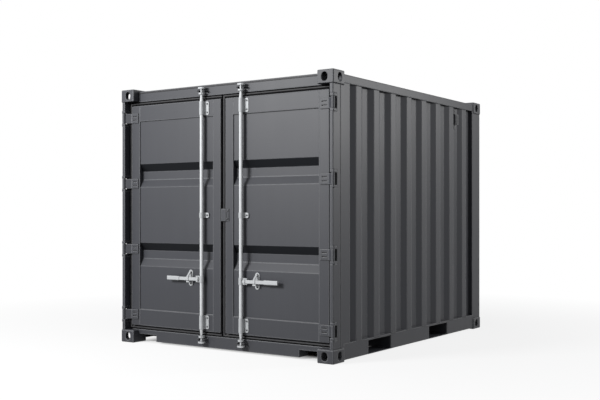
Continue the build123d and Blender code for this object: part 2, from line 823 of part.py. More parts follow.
def leaf_seal(side, lock_lip, name):
    """A rubber ring round the edges of the leaf."""
    lock = LEAF_LOCK_EDGE - lock_lip
    hinge = LEAF_HINGE_EDGE + LEAF_HINGE_GAP - SEAL_POST_GAP
    top = HEADER_BOTTOM - SEAL_HEADER_GAP
    bottom = SILL_TOP + SEAL_SILL_GAP
    with BuildPart() as seal:
        slab(
            (
                (side * lock, deep(SEAL_FRONT), bottom),
                (side * hinge, deep(SEAL_BACK), top),
            )
        )
        slab(
            (
                (side * LEAF_LOCK_EDGE, deep(SEAL_FRONT), LEAF_BOTTOM),
                (side * LEAF_HINGE_EDGE, deep(SEAL_BACK), LEAF_TOP),
            ),
            Mode.SUBTRACT,
        )
    write(seal.part, name)


def bar_brackets(side, name):
    """Bearing brackets that hold the lock bar off the frame, with a guide on the sheet between."""
    x = side * BAR_SIDE
    y = deep(BAR_DEEP)
    plate_front = deep(LEAF_FACE - BRACKET_PLATE)
    with BuildPart() as brackets:
        for middle, tall, seat in (
            (BRACKET_LOW, BRACKET_END_TALL, LEAF_FACE),
            (BRACKET_MID, BRACKET_MID_TALL, PANEL_FACE),
            (BRACKET_HIGH, BRACKET_END_TALL, LEAF_FACE),
        ):
            back = deep(seat)
            with BuildSketch(Plane.XZ.offset(-back)) as plate:
                with Locations((x + (BRACKET_RIGHT - BRACKET_LEFT) / 2, middle)):
                    Rectangle(BRACKET_LEFT + BRACKET_RIGHT, tall)
                chamfer(plate.vertices(), BRACKET_CORNER)
            extrude(amount=back - plate_front)
            with BuildSketch(Plane.XY.offset(middle - tall / 2)):
                with Locations((x, (y + back) / 2)):
                    Rectangle(2 * BRACKET_BODY, back - y)
                with Locations((x, y)):
                    Circle(BRACKET_BODY)
                    RegularPolygon(
                        BAR_RADIUS + BAR_RUN_CLEARANCE,
                        PIN_SIDES,
                        major_radius=False,
                        mode=Mode.SUBTRACT,
                    )
            extrude(amount=tall)
    write(brackets.part, name)


def handle_catch(side, name):
    """An oval plate on the leaf with a rest under the handle."""
    x = side * (BAR_SIDE + CATCH_OUT)
    plate_front = deep(PANEL_FACE - CATCH_PLATE)
    rest_top = HANDLE_Z - HANDLE_TALL / 2 - REST_GAP
    with BuildPart() as plate:
        with BuildSketch(Plane.XZ.offset(-deep(PANEL_FACE))):
            with Locations((x, HANDLE_Z + CATCH_LIFT)):
                oval(CATCH_TALL, CATCH_WIDE)
        extrude(amount=CATCH_PLATE)
    with BuildPart() as rest:
        slab(
            (
                (x - REST_WIDE / 2, deep(HANDLE_FRONT), rest_top - REST_THICK),
                (x + REST_WIDE / 2, plate_front, rest_top),
            )
        )
    write(Compound(children=[plate.part.solid(), rest.part.solid()]), name)


def cover_plate():
    """A joggled plate on the right leaf that hides the gap between the leaves."""
    jog = deep(LEAF_FACE - COVER_JOG)
    low = LEAF_MIDDLE + COVER_LIFT - COVER_TALL / 2
    high = low + COVER_TALL
    with BuildPart() as cover:
        slab(
            (
                (LEAF_LOCK_EDGE + COVER_PLATE, jog, low),
                (COVER_RIGHT, deep(LEAF_FACE), high),
            )
        )
        slab(
            (
                (COVER_LEFT, jog - COVER_PLATE, low),
                (LEAF_LOCK_EDGE + 2 * COVER_PLATE, jog, high),
            )
        )
    write(cover.part, "centre_cover_plate")


def lock_bar(side, name):
    """The turning bar, with a hexagon neck at each end for the cams."""
    low_taper = BRACKET_LOW - BRACKET_END_TALL / 2
    high_taper = BRACKET_HIGH + BRACKET_END_TALL / 2
    with BuildPart() as bar:
        with BuildSketch(Plane.XZ.offset(-deep(BAR_DEEP))):
            with Locations((side * BAR_SIDE, 0)):
                Polygon(
                    (0, BAR_BOTTOM + CAM_TALL),
                    (BAR_NECK, BAR_BOTTOM + CAM_TALL),
                    (BAR_RADIUS, low_taper),
                    (BAR_RADIUS, high_taper),
                    (BAR_NECK, BAR_TOP - CAM_TALL),
                    (0, BAR_TOP - CAM_TALL),
                    align=None,
                )
        revolve(axis=Axis((side * BAR_SIDE, deep(BAR_DEEP), 0), (0, 0, 1)))
        for start in (BAR_BOTTOM, BAR_TOP - CAM_TALL):
            with BuildSketch(Plane.XY.offset(start)):
                with Locations((side * BAR_SIDE, deep(BAR_DEEP))):
                    RegularPolygon(BAR_NECK, BAR_NECK_SIDES)
            extrude(amount=CAM_TALL)
    write(bar.part, name)


def bar_fittings(side, name):
    """The cam flanges at both ends of the bar and the hub that carries the handle."""
    x = side * BAR_SIDE
    y = deep(BAR_DEEP)
    solids = []
    for start, half in (
        (BAR_BOTTOM, CAM_HALF),
        (BAR_BOTTOM + CAM_TALL - CAM_THICK, CAM_INNER_HALF),
        (BAR_TOP - CAM_TALL, CAM_INNER_HALF),
        (BAR_TOP - CAM_THICK, CAM_HALF),
    ):
        with BuildPart() as cam:
            with BuildSketch(Plane.XY.offset(start)) as flange:
                with Locations((x, y)):
                    Rectangle(2 * half, CAM_DEEP)
                chamfer(flange.vertices(), CAM_CORNER)
                with Locations((x, y)):
                    RegularPolygon(BAR_NECK, BAR_NECK_SIDES, mode=Mode.SUBTRACT)
            extrude(amount=CAM_THICK)
        solids.append(cam.part.solid())
    with BuildPart() as hub:
        with BuildSketch(Plane.XY.offset(HANDLE_Z - HUB_TALL / 2)):
            with Locations((x, y)):
                Circle(HUB_COLLAR)
            with Locations((x + side * HUB_REACH / 2, deep(HUB_FRONT + HUB_THICK / 2))):
                Rectangle(HUB_REACH, HUB_THICK)
            with Locations((x, y)):
                Circle(BAR_RADIUS, mode=Mode.SUBTRACT)
        extrude(amount=HUB_TALL)
        with BuildSketch(Plane.XZ.offset(-deep(HUB_FRONT))):
            with Locations((x + side * PIVOT_OUT, HANDLE_Z)):
                RegularPolygon(PIVOT_RADIUS, PIN_SIDES)
        extrude(amount=HANDLE_THICK + 2 * HANDLE_GAP)
        with BuildSketch(Plane.XZ.offset(-deep(HANDLE_FRONT - HANDLE_GAP))):
            with Locations((x + side * PIVOT_OUT, HANDLE_Z)):
                RegularPolygon(PIVOT_HEAD, PIVOT_HEAD_SIDES)
        extrude(amount=PIVOT_HEAD_THICK)
    solids.append(hub.part.solid())
    write(Compound(children=solids), name)


def handle(side, name):
    """A flat bar with an eye, a thicker grip and the slanted hasp that crosses it."""
    eye = side * (BAR_SIDE + PIVOT_OUT)
    end = side * (BAR_SIDE + HANDLE_REACH)
    grip = side * (BAR_SIDE + GRIP_START)
    hasp = side * (BAR_SIDE + CATCH_OUT)
    back = deep(HANDLE_FRONT + HANDLE_THICK)
    centre = deep(HANDLE_FRONT + HANDLE_THICK / 2)
    hasp_back = deep(PANEL_FACE - CATCH_PLATE - REST_GAP)
    with BuildPart() as arm:
        with BuildSketch(Plane.XZ.offset(-back)):
            with Locations((eye, HANDLE_Z)):
                Circle(HANDLE_EYE)
            with Locations(((eye + grip) / 2, HANDLE_Z)):
                Rectangle(abs(grip - eye), HANDLE_TALL)
            with Locations((eye, HANDLE_Z)):
                RegularPolygon(
                    PIVOT_RADIUS + PIN_CLEARANCE,
                    PIN_SIDES,
                    major_radius=False,
                    mode=Mode.SUBTRACT,
                )
        extrude(amount=HANDLE_THICK)
        with BuildSketch(Plane.YZ.offset(grip)):
            with Locations((centre, HANDLE_Z)):
                RectangleRounded(GRIP_THICK, GRIP_TALL, GRIP_ROUNDING)
        extrude(amount=end - grip)
        with BuildSketch(Plane.YZ.offset(hasp - HASP_WIDE / 2)):
            Polygon(
                (deep(HANDLE_FRONT - HASP_THICK), HANDLE_Z - HANDLE_TALL / 2),
                (deep(HANDLE_FRONT), HANDLE_Z - HANDLE_TALL / 2),
                (deep(HANDLE_FRONT), HANDLE_Z + HANDLE_TALL / 2),
                (hasp_back, HANDLE_Z + HASP_RISE),
                (hasp_back - HASP_THICK, HANDLE_Z + HASP_RISE + HASP_THICK),
                (deep(HANDLE_FRONT - HASP_THICK), HANDLE_Z + HANDLE_TALL / 2 + HASP_THICK),
                align=None,
            )
        extrude(amount=HASP_WIDE)
    write(arm.part, name)


def cam_keepers():
    """Behind each cam, a plate with two bored lugs that stand either side of the bar's neck."""
    with BuildPart() as keepers:
        for side in (-1, 1):
            for middle in (BAR_BOTTOM + CAM_TALL / 2, BAR_TOP - CAM_TALL / 2):
                x = side * BAR_SIDE
                lugs = ((x - KEEPER_SPREAD, middle), (x + KEEPER_SPREAD, middle))
                with BuildSketch(Plane.XZ.offset(-deep(HEADER_FACE))) as plate:
                    with Locations((x, middle)):
                        Rectangle(2 * KEEPER_SPREAD + KEEPER_TALL, KEEPER_TALL)
                    chamfer(plate.vertices(), KEEPER_CORNER)
                extrude(amount=KEEPER_PLATE)
                with BuildSketch(Plane.XZ.offset(-deep(HEADER_FACE - KEEPER_PLATE))):
                    with Locations(*lugs):
                        RegularPolygon(KEEPER_RADIUS, KEEPER_SIDES)
                extrude(amount=KEEPER_REACH - KEEPER_PLATE)
                with BuildSketch(Plane.XZ.offset(-deep(HEADER_FACE - KEEPER_REACH))):
                    with Locations(*lugs):
                        RegularPolygon(KEEPER_BORE, KEEPER_BORE_SIDES)
                extrude(amount=-KEEPER_BORE_DEEP, mode=Mode.SUBTRACT)
    write(keepers.part, "cam_keepers")


def side_vents():
    """A hooded vent with two fixing ears in the last valley of each side wall."""
    valley = SKIN_OUT - WAVE_DEPTH
    count, first = side_crests()
    y = first + (count - 1.5) * WAVE_PITCH
    z = TOP_RAIL_BOTTOM - VENT_DROP
    with BuildPart() as vents:
        for side in (-1, 1):
            slab(
                (
                    (side * valley, y - VENT_WIDE / 2, z - VENT_TALL / 2),
                    (side * (valley + VENT_DEEP), y + VENT_WIDE / 2, z + VENT_TALL / 2),
                )
            )
            slab(
                (
                    (side * valley, y - VENT_WIDE / 4, z - VENT_EAR / 2),
                    (side * (valley + VENT_EAR_THICK), y + VENT_WIDE / 4, z + VENT_EAR / 2),
                )
            )
    write(vents.part, "side_vents")


def main():
    os.makedirs("parts", exist_ok=True)
    corner_castings(CASTING_TOP_Z, True, "top_corner_castings")
    corner_castings(0, False, "bottom_corner_castings")
    door_header()
    door_sill()
    box_rail(
        (-CASTING_INNER, REAR - END_RAIL_OUT - END_RAIL_DEEP, CASTING_TOP_Z),
        (CASTING_INNER, REAR - END_RAIL_OUT, TOP_RAIL_TOP),
        "X",
        "rear_top_rail",
    )
    box_rail(
        (-CASTING_INNER, REAR - END_RAIL_OUT - END_RAIL_DEEP, SILL_BOTTOM),
        (CASTING_INNER, REAR - END_RAIL_OUT, CASTING_Z),
        "X",
        "rear_bottom_rail",
    )
    end_panel()
    roof_panel()
    floor_boards()
    cross_members()
    fork_pockets()
    cam_keepers()
    side_vents()
    cover_plate()
    for side, word, lock_lip in ((-1, "left", SEAL_LEFT_LIP), (1, "right", SEAL_RIGHT_LIP)):
        rail_x = sorted((side * RAIL_OUT, side * (RAIL_OUT - TOP_RAIL_WIDE)))
        front_post(side, f"{word}_front_post")
        rear_post(side, f"{word}_rear_post")
        box_rail(
            (rail_x[0], deep(CASTING_Y), TOP_RAIL_BOTTOM),
            (rail_x[1], REAR - CASTING_Y, TOP_RAIL_TOP),
            "Y",
            f"{word}_top_rail",
        )
        bottom_rail(side, f"{word}_bottom_rail")
        side_panel(side, f"{word}_side_panel")
        hinge_lugs(side, f"{word}_hinge_lugs")
        hinge_blades(side, f"{word}_hinge_blades")
        leaf_frame(side, f"{word}_door_frame")
        leaf_panel(side, f"{word}_door_panel")
        leaf_seal(side, lock_lip, f"{word}_door_seal")
        bar_brackets(side, f"{word}_bar_brackets")
        handle_catch(side, f"{word}_handle_catch")
        lock_bar(side, f"{word}_lock_bar")
        bar_fittings(side, f"{word}_bar_fittings")
        handle(side, f"{word}_handle")


main()
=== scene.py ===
import json
import math

import bmesh
import bpy
import numpy as np
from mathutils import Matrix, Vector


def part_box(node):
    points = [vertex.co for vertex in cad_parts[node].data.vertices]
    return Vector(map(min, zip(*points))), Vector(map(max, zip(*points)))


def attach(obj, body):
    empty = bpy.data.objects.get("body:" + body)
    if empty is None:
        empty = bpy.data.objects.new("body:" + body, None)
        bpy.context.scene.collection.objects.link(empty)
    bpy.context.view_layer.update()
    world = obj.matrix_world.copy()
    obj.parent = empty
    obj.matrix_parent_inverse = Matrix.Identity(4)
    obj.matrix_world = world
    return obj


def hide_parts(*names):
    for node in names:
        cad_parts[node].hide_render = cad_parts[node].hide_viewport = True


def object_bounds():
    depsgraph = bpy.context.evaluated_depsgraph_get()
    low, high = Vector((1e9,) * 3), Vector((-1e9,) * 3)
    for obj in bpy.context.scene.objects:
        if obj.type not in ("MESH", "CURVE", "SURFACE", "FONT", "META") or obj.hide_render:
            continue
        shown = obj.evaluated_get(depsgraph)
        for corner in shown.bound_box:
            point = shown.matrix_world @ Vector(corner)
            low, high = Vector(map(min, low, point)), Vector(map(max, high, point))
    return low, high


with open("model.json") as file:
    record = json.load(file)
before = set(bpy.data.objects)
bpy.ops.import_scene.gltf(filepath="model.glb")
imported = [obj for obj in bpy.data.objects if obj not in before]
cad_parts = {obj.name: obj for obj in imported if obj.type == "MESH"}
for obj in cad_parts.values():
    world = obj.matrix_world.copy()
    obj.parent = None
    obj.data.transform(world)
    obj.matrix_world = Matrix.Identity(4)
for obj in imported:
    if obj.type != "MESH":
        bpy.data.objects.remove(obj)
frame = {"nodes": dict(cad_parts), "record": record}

# Finishes, fasteners, welds and seals of a ten-foot freight container.
# Metres, in the frame of the solids: X runs across the doors, +Y away from them, +Z up.

CAD_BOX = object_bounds()

# Directions, and the sides of the container with the sign of their X
FRONT = (0, -1, 0)
REAR = (0, 1, 0)
UP = (0, 0, 1)
SIDES = (("left", -1.0), ("right", 1.0))

# Corners of the solids within this of each other are at one level, and a face whose normal has more
# than this share outwards looks outwards
SAME_LEVEL = 1e-4
OUTWARD_LEAST = 0.1

# Edges of new pieces that turn by more than this stay crisp
SHARP_ANGLE = math.radians(40.0)

# Camera, at the picture's viewing angle: frame, lens and horizon in pixels, sensor in millimetres
FRAME_WIDE = 600.0
LENS = 914.9
HORIZON_DROP = 13.2
SENSOR = 36.0
CAMERA_TURN = math.radians(34.434)
CAMERA_PLACE = (5.241, -7.847, 1.246)

# Lamps: place, aim, width, height, power in watts, spread of the beam in degrees
LAMPS = {
    "key_lamp": ((-2.2, -6.9, 3.6), (0.0, -1.4, 1.2), 2.2, 1.4, 490.0, 180.0),
    "side_lamp": ((5.4, 4.4, 3.3), (1.2, -2.6, 1.6), 1.2, 1.2, 31.0, 80.0),
}
AMBIENT = (0.19, 0.195, 0.205, 1.0)
WHITE = (1.0, 1.0, 1.0, 1.0)
SEEN_RAYS = ("Is Camera Ray", "Is Glossy Ray", "Is Transmission Ray")

# Ground: its real grey, half its width, and the share of real light and shade that shows near the
# box and fades out from FLOOR_NEAR to FLOOR_FAR; under the box all of it shows, past a soft border
FLOOR_GREY = (0.12, 0.12, 0.12, 1.0)
FLOOR_HALF = 40.0
FLOOR_LIT_SHARE = 0.16
FLOOR_NEAR = 2.2
FLOOR_FAR = 5.5
FLOOR_UNDER = 0.30

# Where fasteners sit: the plate's thickness and height, and how far in from its edges the heads are
BRACKET_PLATE = 0.005
BRACKET_TALL = 0.123
BRACKET_BOLT_IN = 0.016
BRACKET_BOLT_UP = 0.022
CATCH_PLATE = 0.006
CATCH_RIVET_IN = 0.020

# The cover plate's bolted flange lies a step behind its front
COVER_STEP = 0.006
COVER_BOLT_IN = 0.016
COVER_BOLT_UP = 0.022

# Floor screws: from the floor's edges, from the seam in the middle, and how many on each half of a row
SCREW_EDGE = 0.12
SCREW_SEAM = 0.05
SCREW_COUNT = 6

# Radius of the door seal's corners, at the leaf and outside, and the points on each corner's arc
SEAL_CORNER_IN = 0.0005
SEAL_CORNER_OUT = 0.008
CORNER_POINTS = 6

# The seal's section, as shares of the seal's width and depth: its roll, in degrees, and its foot
ROLL_OUT = 0.69
ROLL_RADIUS = 0.29
ROLL_START = 232.0
ROLL_END = -52.0
ROLL_POINTS = 22
FOOT_OUT = 0.92
FOOT_DEEP = 0.84

# Weld beads: radius, spacing along, points round, length of a ripple and how much it swells
WELD_RADIUS = 0.0045
WELD_STEP = 0.004
WELD_POINTS = 7
WELD_RIPPLE = 0.012
WELD_SWELL = 0.13

# Dark bead on the header, a painted shade along the gap under the roof's edge: radius, and how far below
# its top and behind its face the bead's middle is
SHADE_BEAD_RADIUS = 0.007
SHADE_BEAD_DOWN = 0.015
SHADE_BEAD_IN = 0.003

# Vent blades: how many, how far inside the box's outline and how deep their roots sit in its face
VENT_BLADES = 6
VENT_INSET = 0.008
BLADE_SINK = 0.0005
BLADE_SECTION = np.array([(0.0, 0.0), (0.007, -0.004), (0.0075, -0.0015), (0.0, 0.0045)])


class Value:
    """A number that varies over a surface; arithmetic on it adds Math nodes to its tree."""

    def __init__(self, nodes, output):
        self.nodes = nodes
        self.output = output

    def math(self, operation, first, second=0.0):
        return self.nodes.add("ShaderNodeMath", {"operation": operation}, {0: first, 1: second})

    def __add__(self, other):
        return self.math("ADD", self, other)

    def __radd__(self, other):
        return self.math("ADD", other, self)

    def __sub__(self, other):
        return self.math("SUBTRACT", self, other)

    def __rsub__(self, other):
        return self.math("SUBTRACT", other, self)

    def __mul__(self, other):
        return self.math("MULTIPLY", self, other)

    def __rmul__(self, other):
        return self.math("MULTIPLY", other, self)

    def __truediv__(self, other):
        return self.math("DIVIDE", self, other)

    def __pow__(self, other):
        return self.math("POWER", self, other)

    def at_most(self, other):
        return self.math("MINIMUM", self, other)

    def at_least(self, other):
        return self.math("MAXIMUM", self, other)

    def share(self):
        """Kept between 0 and 1."""
        return self.at_least(0.0).at_most(1.0)

    def below(self, other):
        return self.math("LESS_THAN", self, other)

    def whole(self):
        return self.math("FLOOR", self)

    def size(self):
        return self.math("ABSOLUTE", self)


class Nodes:
    """A node tree, with one method that adds any node."""

    # Rays for each look at a place's surroundings
    samples = 6

    def __init__(self, tree):
        self.tree = tree
        self.tree.nodes.clear()

    def add(self, kind, settings=None, inputs=None, output=0):
        """A new node with its settings, then its socket values or links; gives one of its outputs."""
        node = self.tree.nodes.new(kind)
        for key, value in (settings or {}).items():
            if key == "stops":
                while len(node.color_ramp.elements) < len(value):
                    node.color_ramp.elements.new(1.0)
                for element, (place, colour) in zip(node.color_ramp.elements, value):
                    element.position = place
                    element.color = colour
            else:
                setattr(node, key, value)
        for key, value in (inputs or {}).items():
            if isinstance(value, Value):
                self.tree.links.new(value.output, node.inputs[key])
            else:
                node.inputs[key].default_value = value
        return Value(self, node.outputs[output]) if len(node.outputs) else None

    def place(self):
        """Object coordinates, which are metres in the part's own frame."""
        return self.add("ShaderNodeTexCoord", output="Object")

    def stretched(self, scale):
        """Object coordinates times a factor for each axis."""
        return self.add("ShaderNodeMapping", {}, {"Vector": self.place(), "Scale": scale})

    def axis(self, name):
        """One of the object coordinates, by its letter."""
        return self.add("ShaderNodeSeparateXYZ", {}, {"Vector": self.place()}, name)

    def facing(self):
        """The direction that the surface looks in."""
        return self.add("ShaderNodeNewGeometry", output="Normal")

    def noise(self, scale, detail, where=None, rough=0.5):
        """Soft noise from 0 to 1, with about scale blotches to the metre."""
        sockets = {"Vector": where or self.place(), "Scale": scale, "Detail": detail, "Roughness": rough}
        return self.add("ShaderNodeTexNoise", {}, sockets)

    def ramp(self, factor, stops):
        """A colour that runs through stops as the factor goes from 0 to 1."""
        return self.add("ShaderNodeValToRGB", {"stops": stops}, {"Fac": factor})

    def blend(self, factor, first, second):
        """Colour first where the factor is 0 and second where it is 1."""
        sockets = {0: factor, 6: first, 7: second}
        return self.add("ShaderNodeMix", {"data_type": "RGBA"}, sockets, 2)

    def rounded(self, radius):
        """The surface's direction, as if its bends and corners were rounded by a radius."""
        return self.add("ShaderNodeBevel", {"samples": self.samples}, {"Radius": radius})

    def bump(self, height, distance, strength, edge=None):
        """Fine relief; with an edge radius, the corners of the mesh also look rounded."""
        sockets = {"Height": height, "Distance": distance, "Strength": strength}
        if edge:
            sockets["Normal"] = self.rounded(edge)
        return self.add("ShaderNodeBump", {}, sockets)

    def edges(self, radius):
        """0 on flat faces, rising towards bends and corners of the mesh within a radius of them."""
        sockets = {0: self.rounded(radius), 1: self.facing()}
        return 1.0 - self.add("ShaderNodeVectorMath", {"operation": "DOT_PRODUCT"}, sockets, "Value")

    def crevices(self, reach):
        """0 in the open, rising to 1 where faces within reach close a place in."""
        settings = {"samples": self.samples}
        return 1.0 - self.add("ShaderNodeAmbientOcclusion", settings, {"Distance": reach}, "AO")

    def crevice_shade(self, start, gain):
        """The mask of painted shade in crevices: 0 until a place is closed in by a start share, then
        rising by gain to 1 deep in a crevice.
        """
        return ((self.crevices(CREVICE_SHADE_REACH) - start) * gain).share()

    def either(self, *outputs):
        """1 where any of the named kinds of ray arrives, else 0."""
        seen = self.add("ShaderNodeLightPath", output=outputs[0])
        for name in outputs[1:]:
            seen = seen.at_least(self.add("ShaderNodeLightPath", output=name))
        return seen

    def mix(self, factor, first, second):
        """Shader first where the factor is 0 and second where it is 1."""
        return self.add("ShaderNodeMixShader", {}, {0: factor, 1: first, 2: second})

    def finish(self, kind, shader):
        """The output node, fed by a shader."""
        self.add(kind, {}, {"Surface": shader})


def tone(red, green, blue):
    """A colour as the sockets take it."""
    return (red, green, blue, 1.0)


def blank_material(name):
    """A new material and its emptied node tree."""
    material = bpy.data.materials.new(name)
    material.use_nodes = True
    return material, Nodes(material.node_tree)


def surface(name, build):
    """A material whose Principled sockets come from build(nodes)."""
    material, nodes = blank_material(name)
    nodes.finish("ShaderNodeOutputMaterial", nodes.add("ShaderNodeBsdfPrincipled", {}, build(nodes)))
    return material


# How far the painted shade reaches out of a crevice, on paint and on zinc
CREVICE_SHADE_REACH = 0.030

# Paint: its colours
PAINT_DEEP = tone(0.029, 0.031, 0.038)
PAINT_PALE = tone(0.037, 0.039, 0.047)
# Painted shade for faces that look down
PAINT_UNDERSIDE_SHADE = tone(0.009, 0.010, 0.012)
PAINT_DUST = tone(0.060, 0.058, 0.055)
# Painted highlight along bends and edges
PAINT_EDGE_HIGHLIGHT = tone(0.210, 0.214, 0.225)
# Painted shade in crevices
PAINT_CREVICE_SHADE = tone(0.006, 0.006, 0.007)

# How round painted edges look, and how far the painted highlight along bends and edges reaches, how
# suddenly and how much
PAINT_EDGE = 0.012
EDGE_HIGHLIGHT_REACH = 0.010
EDGE_HIGHLIGHT_GAIN = 120.0
EDGE_HIGHLIGHT_SHARE = 0.6

# How soon a face that leans down is painted darker, a painted shade, and how much at most
UNDERSIDE_SHADE_GAIN = 2.2
UNDERSIDE_SHADE_MOST = 0.9

# How high dust reaches on the walls, and its share at the foot
DUST_HIGH = 0.5
DUST_SHARE = 0.22


def anthracite_paint(nodes):
    """Sprayed paint: soft clouds, faint rain streaks, dust low down and a fine orange peel.

    Bends and edges are painted paler, a painted highlight, and crevices are painted dark, a painted
    shade.
    Faces that look down are painted darker, a painted shade, and the same share raises the metallic
    share, which lowers what they reflect and darkens them further.
    """
    clouds = nodes.noise(scale=1.4, detail=3.0)
    streaks = nodes.noise(scale=1.0, detail=2.0, where=nodes.stretched((14.0, 14.0, 0.7)))
    peel = nodes.noise(scale=190.0, detail=1.0)
    grit = nodes.noise(scale=700.0, detail=2.0)
    shade = (clouds * 0.6 + streaks * 0.4).at_most(1.0)
    coat = nodes.ramp(shade, [(0.25, PAINT_DEEP), (0.75, PAINT_PALE)])
    upward = nodes.add("ShaderNodeSeparateXYZ", {}, {"Vector": nodes.facing()}, "Z")
    # Painted shade: faces that look down turn darker and more metallic
    underside_shade = (upward * -UNDERSIDE_SHADE_GAIN).at_least(0.0).at_most(UNDERSIDE_SHADE_MOST)
    low = (1.0 - nodes.axis("Z") / DUST_HIGH).at_least(0.0)
    dust = low * nodes.noise(scale=5.0, detail=4.0) * DUST_SHARE
    underside_shaded = nodes.blend(underside_shade, coat, PAINT_UNDERSIDE_SHADE)
    dusty = nodes.blend(dust * (1.0 - underside_shade), underside_shaded, PAINT_DUST)
    # Painted highlight: paler colour along bends and edges, except on faces that look down
    wear_and_edge_highlight = (nodes.edges(EDGE_HIGHLIGHT_REACH) * EDGE_HIGHLIGHT_GAIN).at_most(1.0) * (1.0 - underside_shade)
    edge_highlighted = nodes.blend(wear_and_edge_highlight * EDGE_HIGHLIGHT_SHARE, dusty, PAINT_EDGE_HIGHLIGHT)
    return {
        # Painted shade: crevices blended towards near black
        "Base Color": nodes.blend(nodes.crevice_shade(start=0.25, gain=1.6), edge_highlighted, PAINT_CREVICE_SHADE),
        "Roughness": 0.46 + clouds * 0.06 + streaks * 0.03 + dust * 0.2,
        # Painted shade: the same mask raises the metallic share on faces that look down
        "Metallic": underside_shade,
        "Specular IOR Level": 0.40,
        "Normal": nodes.bump(peel * 0.7 + grit * 0.3, distance=0.0006, strength=0.25, edge=PAINT_EDGE),
    }


# Zinc: crystals to the metre, and its colours
SPANGLE = 130.0
# Painted shade in crevices on zinc
ZINC_CREVICE_SHADE = tone(0.045, 0.045, 0.048)
FITTING_DULL = tone(0.36, 0.37, 0.38)
FITTING_BRIGHT = tone(0.46, 0.47, 0.48)
# The lock bars' colours, lighter than the fittings', as painted light on the round bars
BAR_DULL = tone(0.46, 0.47, 0.48)
BAR_BRIGHT = tone(0.58, 0.59, 0.60)


def zinc_coat(nodes, dull, bright):
    """Zinc-coated steel: crystal spangle a few millimetres wide, soft dull patches, and crevices painted
    dark, a painted shade.
    """
    sockets = {"Vector": nodes.place(), "Scale": SPANGLE}
    spangle = nodes.add("ShaderNodeTexVoronoi", {"feature": "F1"}, sockets, "Color")
    flake = nodes.add("ShaderNodeSeparateColor", {}, {"Color": spangle}, "Red")
    patches = nodes.noise(scale=9.0, detail=3.0)
    scratches = nodes.noise(scale=60.0, detail=3.0, where=nodes.stretched((1.0, 1.0, 0.05)))
    zinc = nodes.ramp(flake * 0.35 + patches * 0.65, [(0.15, dull), (0.85, bright)])
    return {
        # Painted shade: crevices blended towards dark grey
        "Base Color": nodes.blend(nodes.crevice_shade(start=0.35, gain=1.8), zinc, ZINC_CREVICE_SHADE),
        "Metallic": 0.86 + flake * 0.10,
        "Roughness": 0.68 + patches * 0.08 + flake * 0.06,
        "Normal": nodes.bump(scratches * 0.6 + flake * 0.4, distance=0.0005, strength=0.18),
    }


def fitting_zinc(nodes):
    """The greyer zinc of brackets, cams and handles."""
    return zinc_coat(nodes, FITTING_DULL, FITTING_BRIGHT)


def bar_zinc_lit_copy(nodes):
    """A lighter copy of the fittings' zinc for the lock bars, as painted light on the round bars."""
    return zinc_coat(nodes, BAR_DULL, BAR_BRIGHT)


# Rubber: its colours
RUBBER_BLACK = tone(0.020, 0.020, 0.022)
RUBBER_BLOOM = tone(0.036, 0.036, 0.038)


def seal_rubber(nodes):
    """Black extruded rubber: matt, with a pale bloom in patches and a fine grain."""
    bloom = nodes.noise(scale=14.0, detail=4.0)
    grain = nodes.noise(scale=420.0, detail=2.0)
    return {
        "Base Color": nodes.ramp(bloom, [(0.35, RUBBER_BLACK), (0.80, RUBBER_BLOOM)]),
        "Roughness": 0.48 + bloom * 0.15,
        "Specular IOR Level": 0.32,
        "Normal": nodes.bump(grain, distance=0.0005, strength=0.3),
    }


# Plywood: length of a sheet, an offset that keeps the count of sheets above 0, half a seam in metres
# across X and as a share of a sheet along Y, and its colours
SHEET_LONG = 0.93
SHEET_OFFSET = 10.0
SEAM_HALF = 0.003
WOOD_DARK = tone(0.150, 0.072, 0.032)
WOOD_MIDDLE = tone(0.285, 0.150, 0.070)
WOOD_PALE = tone(0.390, 0.225, 0.115)
WOOD_SCUFFED = tone(0.30, 0.25, 0.20)
WOOD_SEAM = tone(0.020, 0.016, 0.012)


def floor_plywood(nodes):
    """Sealed plywood sheets: grain along the box, a seam between sheets and scuffs from cargo.

    Seams lie at each whole sheet along Y, and on the middle line in X.
    """
    grain_where = nodes.stretched((26.0, 1.2, 26.0))
    grain = nodes.noise(scale=1.6, detail=5.0, where=grain_where, rough=0.62)
    fibre = nodes.noise(scale=9.0, detail=3.0, where=grain_where)
    along = (nodes.axis("Y") + SHEET_OFFSET) / SHEET_LONG
    seam_y = ((along - along.whole() - 0.5).size() - 0.5).size().below(SEAM_HALF)
    seam_x = nodes.axis("X").size().below(SEAM_HALF)
    seam = seam_y.at_least(seam_x)
    scuffs = nodes.noise(scale=3.5, detail=6.0)
    stops = [(0.25, WOOD_DARK), (0.55, WOOD_MIDDLE), (0.80, WOOD_PALE)]
    wood = nodes.ramp(grain * 0.8 + fibre * 0.2, stops)
    wear_and_edge_highlight = nodes.blend(scuffs * 0.35, wood, WOOD_SCUFFED)
    return {
        "Base Color": nodes.blend(seam, wear_and_edge_highlight, WOOD_SEAM),
        "Roughness": 0.45 + scuffs * 0.3,
        "Normal": nodes.bump(fibre * 0.5 - seam, distance=0.0008, strength=0.5),
    }


# Vent plastic: its colours
VENT_DARK = tone(0.078, 0.081, 0.086)
VENT_CHALK = tone(0.105, 0.108, 0.113)


def vent_moulding(nodes):
    """Moulded plastic sprayed over with the wall: fine spark grain and slight chalking."""
    grain = nodes.noise(scale=520.0, detail=2.0)
    chalk = nodes.noise(scale=20.0, detail=3.0)
    return {
        "Base Color": nodes.ramp(chalk, [(0.3, VENT_DARK), (0.8, VENT_CHALK)]),
        "Roughness": 0.50 + chalk * 0.15,
        "Normal": nodes.bump(grain, distance=0.0004, strength=0.3),
    }


